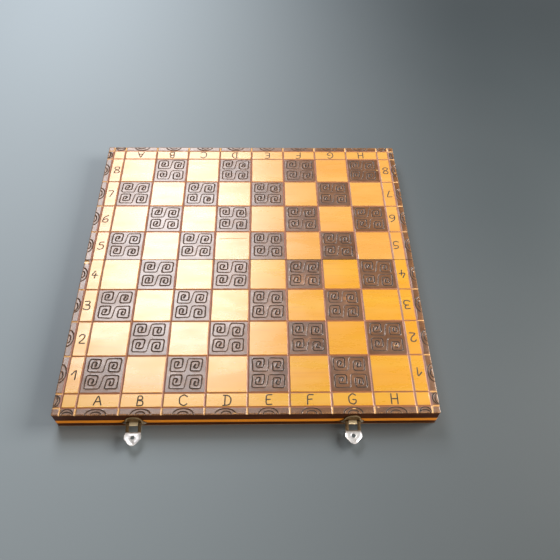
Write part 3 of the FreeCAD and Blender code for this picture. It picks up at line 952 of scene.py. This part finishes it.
class Nodes:
    """Builds one node material; every method returns an output socket."""

    def __init__(self, name):
        self.material = bpy.data.materials.new(name)
        self.material.use_nodes = True
        self.tree = self.material.node_tree
        self.shader = self.tree.nodes["Principled BSDF"]
        self.place = self.add("TexCoord").outputs["Object"]

    def add(self, kind, inputs=(), **settings):
        node = self.tree.nodes.new("ShaderNode" + kind)
        for name, value in settings.items():
            setattr(node, name, value)
        for name, value in dict(inputs).items():
            self.set(node, name, value)
        return node

    def set(self, node, name, value):
        if isinstance(value, bpy.types.NodeSocket):
            self.tree.links.new(value, node.inputs[name])
        else:
            node.inputs[name].default_value = value

    def calc(self, operation, *values, clamp=False):
        node = self.add("Math", dict(enumerate(values)), operation=operation, use_clamp=clamp)
        return node.outputs[0]

    def times(self, a, b, clamp=False):
        return self.calc("MULTIPLY", a, b, clamp=clamp)

    def span(self, value, low, high, to_low=0.0, to_high=1.0):
        """The value's place between low and high, softened at both ends."""
        inputs = {"Value": value, "From Min": low, "From Max": high,
                  "To Min": to_low, "To Max": to_high}
        return self.add("MapRange", inputs, interpolation_type="SMOOTHSTEP").outputs["Result"]

    def mix(self, share, a, b, blend="MIX"):
        node = self.add("Mix", data_type="RGBA", blend_type=blend)
        self.set(node, 0, share)
        for socket, value in ((6, a), (7, b)):
            self.set(node, socket, value if isinstance(value, bpy.types.NodeSocket) else (*value, 1))
        return node.outputs[2]

    def noise(self, stretch, detail=4.0, roughness=0.55, place=None):
        """Noise with so many features a metre along each axis."""
        scaled = self.add("VectorMath", {0: place or self.place, 1: stretch}, operation="MULTIPLY")
        inputs = {"Vector": scaled.outputs[0], "Scale": 1.0, "Detail": detail, "Roughness": roughness}
        return self.add("TexNoise", inputs).outputs["Fac"]

    def attribute(self, name):
        return self.add("Attribute", attribute_name=name).outputs["Fac"]

    def axis(self, name):
        return self.add("SeparateXYZ", {0: self.place}).outputs[name]

    def bump(self, height, distance, strength=1.0, below=None):
        inputs = {"Height": height, "Distance": distance, "Strength": strength}
        if below:
            inputs["Normal"] = below
        return self.add("Bump", inputs).outputs["Normal"]

    def finish(self, color, roughness, normal=None, **fixed):
        self.set(self.shader, "Base Color", color)
        self.set(self.shader, "Roughness", roughness)
        if normal:
            self.set(self.shader, "Normal", normal)
        for name, value in fixed.items():
            self.shader.inputs[name.replace("_", " ")].default_value = value
        return self.material


def lacquered_wood(n, light, deep, streak):
    """Pale wood under lacquer: broad bands and fine fibres along X."""
    band = n.noise((2.5, 30, 30), detail=3.0)
    fibre = n.noise((14, 420, 420), detail=5.0, roughness=0.62)
    color = n.mix(n.span(band, 0.36, 0.66), light, deep)
    dark = n.span(fibre, 0.52, 0.74, 0, 0.3)
    return n.mix(dark, color, streak), fibre, band


def stained_wood(n, low, high, fibre):
    """Dark stain that took unevenly."""
    cloud = n.noise((60, 90, 90), detail=4.0)
    share = n.times(n.span(cloud, 0.3, 0.7), n.span(fibre, 0.3, 0.75, 0.45, 1.0))
    return n.mix(share, low, high)


LACQUER = {
    "front": ((0.95, 0.49, 0.032), (0.93, 0.42, 0.020)),
    "back": ((0.95, 0.49, 0.10), (0.92, 0.43, 0.075)),
}
LACQUER_STREAK = (0.66, 0.25, 0.018)
STAIN_LOW = (0.135, 0.047, 0.010)
STAIN_HIGH = (0.245, 0.094, 0.022)
SCORCH = (0.022, 0.011, 0.006)
GROOVE_BROWN = (0.52, 0.16, 0.036)
GROOVE_MAUVE = (0.40, 0.14, 0.075)
# Painted shade for the bottom of the grooves
GROOVE_PAINTED_SHADE = (0.12, 0.036, 0.016)
RAIL_STAIN_LOW = (0.045, 0.010, 0.0012)
RAIL_STAIN_HIGH = (0.095, 0.024, 0.004)
BARE_WOOD = (0.95, 0.55, 0.17)
RUBBED = (0.52, 0.20, 0.045)
WORN_EDGE = (0.70, 0.34, 0.12)
# Lighter brown of the raised lips: wear and a painted highlight
LIP_WEAR_AND_HIGHLIGHT = (0.36, 0.19, 0.095)

# How rough the lacquer is at its smoothest and dullest, and what stain, char and cuts add
LACQUER_ROUGHNESS = (0.24, 0.34)
STAIN_DULLS = 0.04
CHAR_DULLS = 0.7
CUT_DULLS = 0.35
LACQUER_SHINE = 0.95
LACQUER_IOR = 1.7
FIBRE_BUMP = 0.000022
FINE_BUMP = 0.00002


def panel_material(half):
    """The carved playing face: lacquer, stain, burnt lines, grooves and wear."""
    n = Nodes(half + "_playing_face")
    light, deep = LACQUER[half]
    wood, fibre, band = lacquered_wood(n, light, deep, LACQUER_STREAK)
    tone = n.attribute("tone")
    wood = n.mix(n.span(tone, 0, 1, 0, 0.22), wood, deep)
    stain = stained_wood(n, STAIN_LOW, STAIN_HIGH, fibre)
    stain = n.mix(n.span(tone, 0.4, 1, 0, 0.4), stain, STAIN_HIGH)
    patch = n.noise((55, 70, 70), detail=5.0, roughness=0.65)
    rubbed = n.times(n.span(patch, 0.56, 0.72), n.attribute("lip"), clamp=True)
    stain = n.mix(n.times(rubbed, 0.6), stain, RUBBED)
    # The raised lips are painted lighter brown: partly wear, partly a painted highlight where light
    # catches them.
    stain = n.mix(n.times(n.attribute("lip"), 0.5), stain, LIP_WEAR_AND_HIGHLIGHT)
    blotch = n.noise((260, 320, 320), detail=4.0, roughness=0.65)
    rub = n.times(n.attribute("rub"), n.span(blotch, 0.38, 0.62, 0.1, 1.0))
    stain = n.mix(rub, stain, RUBBED)
    color = n.mix(n.attribute("stain"), wood, stain)
    file_groove, rank_groove = n.attribute("file_groove"), n.attribute("rank_groove")
    for groove, shade in ((file_groove, GROOVE_MAUVE), (rank_groove, GROOVE_BROWN)):
        color = n.mix(n.span(groove, 0.0, 0.3, 0, 0.92), color, shade)
    # Painted shade: the bottom of each groove is painted dark where shade falls in the V, strongly in
    # the rank grooves and faintly in the file grooves.
    rank_groove_shade = n.span(rank_groove, 0.6, 1.0, 0, 0.85)
    groove_shade = n.calc("MAXIMUM", rank_groove_shade, n.span(file_groove, 0.7, 1.0, 0, 0.4))
    color = n.mix(groove_shade, color, GROOVE_PAINTED_SHADE)
    color = n.mix(n.span(n.attribute("burn"), 0.05, 0.8), color, SCORCH)
    ragged = n.noise((900, 900, 900), detail=2.0)
    worn = n.times(n.attribute("edge"), n.span(ragged, 0.47, 0.6), clamp=True)
    color = n.mix(n.times(worn, 0.75), color, WORN_EDGE)
    color = n.mix(n.span(n.attribute("bare"), 0.2, 0.7), color, BARE_WOOD)
    smudge = n.noise((18, 60, 60), detail=5.0, roughness=0.65)
    roughness = n.span(smudge, 0.3, 0.7, *LACQUER_ROUGHNESS)
    dull = n.times(n.attribute("stain"), STAIN_DULLS)
    charred = n.times(n.attribute("burn"), CHAR_DULLS)
    cut = n.times(n.calc("MAXIMUM", file_groove, rank_groove), CUT_DULLS)
    dull = n.calc("ADD", dull, n.calc("MAXIMUM", charred, cut))
    roughness = n.calc("ADD", roughness, dull, clamp=True)
    normal = n.bump(fibre, FIBRE_BUMP)
    normal = n.bump(n.noise((260, 260, 260), detail=3.0), FINE_BUMP, below=normal)
    return n.finish(color, roughness, normal, Specular_IOR_Level=LACQUER_SHINE, IOR=LACQUER_IOR)


# The lacquered stripe of the rails, in metres above the rims, and the finishes of the rails
STRIPE_TOP = 0.0138
STRIPE_BOTTOM = 0.0075
STRIPE_SOFTNESS = 0.00018
STRIPE_COLORS = ((0.95, 0.33, 0.022), (0.88, 0.27, 0.014), (0.5, 0.14, 0.010))
BARE_INSIDE = ((0.62, 0.36, 0.15), (0.52, 0.28, 0.105))
BARE_STREAK = (0.34, 0.16, 0.06)
RAIL_SHINE = 0.12
RAIL_BUMP = 0.00003


def rail_material():
    """Rails: stained outside with a lacquered stripe, bare wood inside."""
    n = Nodes("rails")
    wood, fibre, band = lacquered_wood(n, *STRIPE_COLORS)
    stain = stained_wood(n, RAIL_STAIN_LOW, RAIL_STAIN_HIGH, fibre)
    x, y, z = (n.axis(a) for a in "XYZ")
    wobble = n.times(n.calc("SUBTRACT", n.noise((25, 25, 4), detail=2.0), 0.5), 0.0008)
    height = n.calc("ADD", z, wobble)
    above = n.span(height, STRIPE_BOTTOM - STRIPE_SOFTNESS, STRIPE_BOTTOM + STRIPE_SOFTNESS)
    below = n.span(height, STRIPE_TOP - STRIPE_SOFTNESS, STRIPE_TOP + STRIPE_SOFTNESS, 1, 0)
    stripe = n.times(above, below)
    side = n.calc("ABSOLUTE", x)
    outer = n.calc("GREATER_THAN", side, HALF_WIDTH * MM - 0.0012)
    from_middle = n.calc("ABSOLUTE", n.calc("SUBTRACT", y, BACK_LOW.y * MM / 2))
    far = n.calc("GREATER_THAN", from_middle, -HALVES[0].outer * MM - 0.0006)
    seam = n.calc("LESS_THAN", from_middle, 0.0009)
    outside = n.calc("MAXIMUM", outer, n.calc("MAXIMUM", far, seam))
    rim = n.calc("GREATER_THAN", z, 0.0004)
    outside = n.times(outside, rim)
    stained = n.times(outside, n.calc("SUBTRACT", 1.0, stripe))
    bare = n.mix(n.span(band, 0.3, 0.7), *BARE_INSIDE)
    bare = n.mix(n.span(fibre, 0.55, 0.8, 0, 0.4), bare, BARE_STREAK)
    color = n.mix(outside, bare, wood)
    color = n.mix(stained, color, stain)
    roughness = n.calc("ADD", n.span(fibre, 0.3, 0.7, 0.3, 0.38),
                       n.times(n.calc("SUBTRACT", 1.0, outside), 0.22))
    return n.finish(color, roughness, n.bump(fibre, RAIL_BUMP), Specular_IOR_Level=RAIL_SHINE)


def metal_material(name, base, tarnish, roughness, amount=0.5, grain=(900, 900, 900), metal=1.0,
                   bright=None):
    """Thin plated sheet: patches of tarnish and fine scuffs, and the bright colour by the bright
    attribute: unworn plating on the hasps, painted highlights on the plates.
    """
    n = Nodes(name)
    patch = n.noise((420, 420, 420), detail=5.0, roughness=0.65)
    if bright:
        kept_plating_and_highlight = n.attribute("bright")
        base = n.mix(kept_plating_and_highlight, base, bright)
        amount = n.times(amount, n.span(kept_plating_and_highlight, 0, 1, 1.0, 0.25))
        tarnish = n.mix(kept_plating_and_highlight, tarnish, bright)
    color = n.mix(n.times(n.span(patch, 0.42, 0.68), amount), base, tarnish)
    scuff = n.noise(grain, detail=4.0)
    rough = n.calc("ADD", n.span(patch, 0.4, 0.7, roughness, roughness + 0.16),
                   n.span(scuff, 0.3, 0.7, 0.0, 0.08))
    return n.finish(color, rough, n.bump(scuff, 0.00002), Metallic=metal)


# ---- The board ----


def build_panels(rail_finish):
    """Ten carved strips for each half, with the rails' finish on their outer edges."""
    materials = {half.name: panel_material(half.name) for half in HALVES}
    names = ["left_edge"] + ["file_" + c for c in "abcdefgh"] + ["right_edge"]
    last = len(COLUMNS) - 2
    columns = [(0, 1)] + [(k,) for k in range(2, last - 1)] + [(last - 1, last)]
    for half in HALVES:
        for name, group in zip(names, columns):
            mesh = Strip(half, f"{half.name}_panel_{name}", group).mesh()
            made = make_piece(mesh, half.name + "_half", materials[half.name],
                              half.name + "_playing_panel")
            crisp = made.modifiers.new("flat_between_grooves", "WEIGHTED_NORMAL")
            crisp.keep_sharp = True
            mesh.materials.append(rail_finish)


def build_clasps(plate, hasp):
    """The stamped plates, hasps and keepers of both clasps."""
    for side in ("left", "right"):
        low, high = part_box(side + "_clasp_pin")
        x = (low.x + high.x) / 2 / MM
        pieces = (
            ("_clasp_base_plate", base_parts, "front_half", "clasp_plate", plate, plate_painted_highlights),
            ("_keeper", keeper_parts, "back_half", "clasp_plate", plate, None),
            ("_clasp_hasp", hasp_parts, side + "_hasp", "clasp_hasp", hasp, hasp_brightness),
        )
        for node, parts, body, slot, material, bright in pieces:
            mesh = sheet_mesh(side + node + "_stamped", parts(x), bright)
            made = make_piece(mesh, body, material, side + node)
            soften_edges(made, SHEET_BEVEL * MM, 35)


def soften_edges(node, width, angle):
    """Breaks the edges that are sharper than an angle in degrees."""
    soften = node.modifiers.new("broken_edges", "BEVEL")
    soften.width = width
    soften.segments = 2
    soften.limit_method = "ANGLE"
    soften.angle_limit = math.radians(angle)


def dress_cad(nodes, material, bevel=0.0):
    """Gives CAD nodes a finish, and breaks their sharp edges when a bevel width is given."""
    for name in nodes:
        node = frame["nodes"][name]
        for slot in node.material_slots:
            slot.material = material
        if bevel:
            weld = node.modifiers.new("join_split_corners", "WELD")
            weld.merge_threshold = 1e-6
            soften_edges(node, bevel, 40)


rail_finish = rail_material()
build_panels(rail_finish)
sides = ("outer", "hinge", "left", "right")
rails = [f"{half.name}_{side}_rail" for half in HALVES for side in sides]
dress_cad(rails, rail_finish, 0.0003)

brass = metal_material("brass_hinge", (0.72, 0.50, 0.22), (0.36, 0.22, 0.09), 0.3)
dress_cad([f"{s}_hinge_{e}_leaf" for s in ("left", "right") for e in ("front", "back")], brass)
steel = metal_material("steel_pin", (0.56, 0.55, 0.53), (0.30, 0.27, 0.24), 0.28)
dress_cad([f"{s}_{e}_pin" for s in ("left", "right") for e in ("hinge", "clasp")], steel)
screw = metal_material("hinge_screw", (0.68, 0.49, 0.25), (0.33, 0.21, 0.10), 0.32)
dress_cad(["hinge_screws_front", "hinge_screws_back"], screw)
# The plates' bright colour is a painted highlight on the rim and, with brighter metal, on the curl
plate = metal_material("clasp_plate", (0.22, 0.13, 0.05), (0.07, 0.035, 0.012), 0.3, amount=0.85,
                       metal=0.4, bright=(0.97, 0.80, 0.52))
hasp = metal_material("clasp_hasp", (0.22, 0.14, 0.065), (0.10, 0.058, 0.024), 0.26, amount=0.8,
                      metal=0.5, bright=(0.93, 0.91, 0.90))
build_clasps(plate, hasp)
nail = metal_material("nail", (0.52, 0.49, 0.44), (0.25, 0.20, 0.15), 0.32, metal=0.7)
dress_cad(["clasp_nails_front", "keeper_nails_back"], nail)


# ---- Studio ----


BACKDROP = (0.46, 0.49, 0.52)
FLOOR_PAINTED_LIGHT = (0.40, 0.465, 0.505)
FLOOR_PAINTED_SHADE = (0.062, 0.078, 0.086)
FLOOR_HALF_SIZE = 6.0
FLOOR_FADES = (0.7, 2.4)
AMBIENT = (1.0, 0.95, 0.88)
AMBIENT_STRENGTH = 0.11

# Place, what it faces, size in metres, watts and color
LIGHTS = {
    "window": ((-0.34, 0.99, 1.1), (-0.34, 0.99, 0), (0.62, 1.26), 18, (0.97, 0.97, 1.0)),
    "lamp": ((0.8, -0.02, 0.6), (0.05, 0, 0), (0.5, 0.5), 7.8, (1.0, 0.97, 0.92)),
    "room": ((0.95, -1.55, 0.29), (0, 0, 0), (1.3, 0.26), 15, (1.0, 0.90, 0.76)),
}

CAMERA_PLACE = (0.0191, -0.4455, 0.6043)
CAMERA_FORWARD = (0.0242, 0.5834, -0.8119)
CAMERA_RIGHT = (0.99970, -0.01596, 0.01833)
CAMERA_LENS = 38.35
CAMERA_SENSOR = 36


def floor_material():
    """Pale floor with painted light: lighter by the window and painted darker in shade away from it,
    which far off turns into the plain backdrop.
    """
    n = Nodes("floor")
    # Painted light and shade across the floor, from the window's side to the far side
    color = n.mix(n.span(n.axis("X"), -0.44, 0.40), FLOOR_PAINTED_LIGHT, FLOOR_PAINTED_SHADE)
    color = n.mix(n.span(n.noise((3, 3, 3), detail=2.0), 0, 1, 0, 0.06), color, (0.3, 0.3, 0.3))
    reach = n.add("VectorMath", {0: n.place}, operation="LENGTH").outputs["Value"]
    far = n.span(reach, *FLOOR_FADES)
    n.set(n.shader, "Emission Strength", far)
    return n.finish(n.mix(far, color, (0, 0, 0)), 0.6, Emission_Color=(*BACKDROP, 1))


# Room above the panels for the lips of the burnt lines
LIP_CLEARANCE = 0.3


def build_floor():
    """A pale floor that lies under the lowest part of the object at every pose."""
    size = FLOOR_HALF_SIZE
    mesh = bpy.data.meshes.new("floor")
    corners = [(-size, -size, 0), (size, -size, 0), (size, size, 0), (-size, size, 0)]
    mesh.from_pydata(corners, [], [(0, 1, 2, 3)])
    mesh.materials.append(floor_material())
    floor = add_object("floor", mesh)
    low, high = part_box("back_outer_rail")
    top = (TOP + LIP_CLEARANCE) * MM
    feet = [("back_half", (0, high.y, low.z)), ("back_half", (0, high.y, top))]
    for side in ("left", "right"):
        low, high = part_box(side + "_clasp_hasp")
        feet.append((side + "_hasp", ((low.x + high.x) / 2, low.y, low.z)))
        feet.append((side + "_hasp", ((low.x + high.x) / 2, low.y, high.z)))
    for body, place in feet:
        foot = add_object("foot_" + body, None)
        foot.location = place
        foot.parent = frame["bodies"][body]
        rule = floor.constraints.new("FLOOR")
        rule.target = foot
        rule.floor_location = "FLOOR_NEGATIVE_Z"


def build_light(name, place, aim, size, power, color):
    """A soft rectangular studio light."""
    lamp = bpy.data.lights.new(name, "AREA")
    lamp.shape = "RECTANGLE"
    lamp.size, lamp.size_y = size
    lamp.energy = power
    lamp.color = color
    made = add_object(name, lamp)
    made.location = place
    made.rotation_euler = (Vector(aim) - Vector(place)).to_track_quat("-Z", "Y").to_euler()


def build_camera():
    """The photograph's viewing angle."""
    camera = bpy.data.cameras.new("camera")
    camera.lens = CAMERA_LENS
    camera.sensor_width = CAMERA_SENSOR
    made = add_object("camera", camera)
    forward = Vector(CAMERA_FORWARD).normalized()
    right = Vector(CAMERA_RIGHT).normalized()
    up = right.cross(forward)
    basis = Matrix((right, up, -forward)).transposed().to_4x4()
    made.matrix_world = Matrix.Translation(CAMERA_PLACE) @ basis
    bpy.context.scene.camera = made


def build_world():
    """A faint warm ambient light, and a plain backdrop where the camera sees past the floor."""
    world = bpy.data.worlds.new("studio")
    world.use_nodes = True
    tree = world.node_tree
    background = tree.nodes["Background"]
    background.inputs["Color"].default_value = (*AMBIENT, 1)
    background.inputs["Strength"].default_value = AMBIENT_STRENGTH
    backdrop = tree.nodes.new("ShaderNodeBackground")
    backdrop.inputs["Color"].default_value = (*BACKDROP, 1)
    seen = tree.nodes.new("ShaderNodeLightPath")
    mix = tree.nodes.new("ShaderNodeMixShader")
    tree.links.new(seen.outputs["Is Camera Ray"], mix.inputs["Fac"])
    tree.links.new(background.outputs[0], mix.inputs[1])
    tree.links.new(backdrop.outputs[0], mix.inputs[2])
    tree.links.new(mix.outputs[0], tree.nodes["World Output"].inputs["Surface"])
    bpy.context.scene.world = world


build_floor()
build_camera()
build_world()
for name, light in LIGHTS.items():
    build_light(name, *light)
bpy.context.scene.view_settings.view_transform = "Standard"
